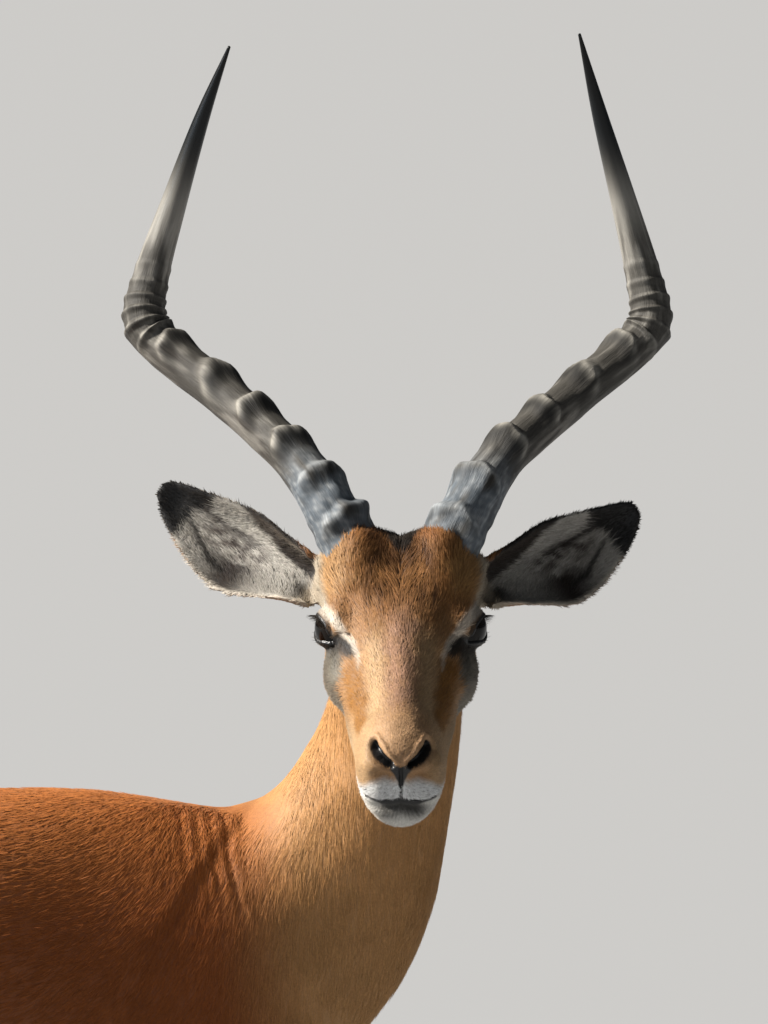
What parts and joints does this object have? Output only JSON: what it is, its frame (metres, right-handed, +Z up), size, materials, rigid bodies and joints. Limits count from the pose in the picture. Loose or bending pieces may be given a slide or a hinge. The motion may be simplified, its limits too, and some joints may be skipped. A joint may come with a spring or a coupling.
{
  "type": "impala antelope",
  "caption": "Life-size still model of an adult impala ram standing on all fours, head turned to its right, with long ringed horns.",
  "frame": {"origin": "on the floor, below the middle of the bounding box", "axes": "+Z up; the trunk faces +X and the ram's left side is +Y; the head faces towards -Y"},
  "size_m": [1.1606, 0.4472, 1.4862],
  "materials": {
    "coat": "short fur, red-brown saddle over tan flanks and a white belly",
    "ear": "thin furred leaf, tan outside, grey-white hair inside, black tip",
    "tail": "long white hair with a black midline",
    "horn": "ridged grey horn, smooth dark slate towards the tip",
    "hoof": "black hoof horn, satin",
    "eye": "dark brown eyeball, wet gloss"
  },
  "bodies": {
    "root": {"ear_left": "ear", "ear_right": "ear", "eye_left": "eye", "eye_right": "eye", "forehoof_left_inner": "hoof", "forehoof_left_outer": "hoof", "forehoof_right_inner": "hoof", "forehoof_right_outer": "hoof", "foreleg_left": "coat", "foreleg_right": "coat", "head": "coat", "hindhoof_left_inner": "hoof", "hindhoof_left_outer": "hoof", "hindhoof_right_inner": "hoof", "hindhoof_right_outer": "hoof", "hindleg_left": "coat", "hindleg_right": "coat", "horn_left": "horn", "horn_right": "horn", "neck": "coat", "tail": "tail", "trunk": "coat"}
  },
  "joints": []
}
